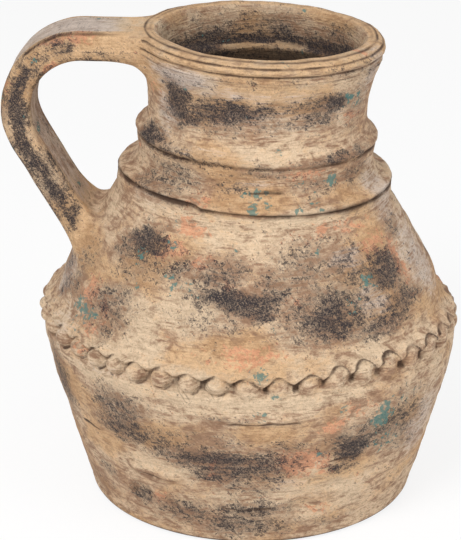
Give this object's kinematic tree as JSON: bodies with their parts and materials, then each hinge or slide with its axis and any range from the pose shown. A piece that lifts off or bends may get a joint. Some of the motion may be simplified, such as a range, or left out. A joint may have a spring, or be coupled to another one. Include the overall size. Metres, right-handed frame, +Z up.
{
  "type": "clay vase",
  "caption": "Hand-thrown earthenware vase for water or stems, with a beaded seam round its widest part, a ridged neck that leans a little, a turned lip and a strap handle.",
  "frame": {"origin": "centre of the flat base, on the axis of the lower body", "axes": "+Z up; the strap handle is towards -X and the neck leans a little towards +X, so the XZ plane is the plane of symmetry"},
  "size_m": [0.2658, 0.248, 0.2792],
  "materials": {
    "fired_clay": "matt cream slip brushed over brown fired clay, with sooty patches"
  },
  "bodies": {
    "root": {"vase_body": "fired_clay"}
  },
  "joints": []
}
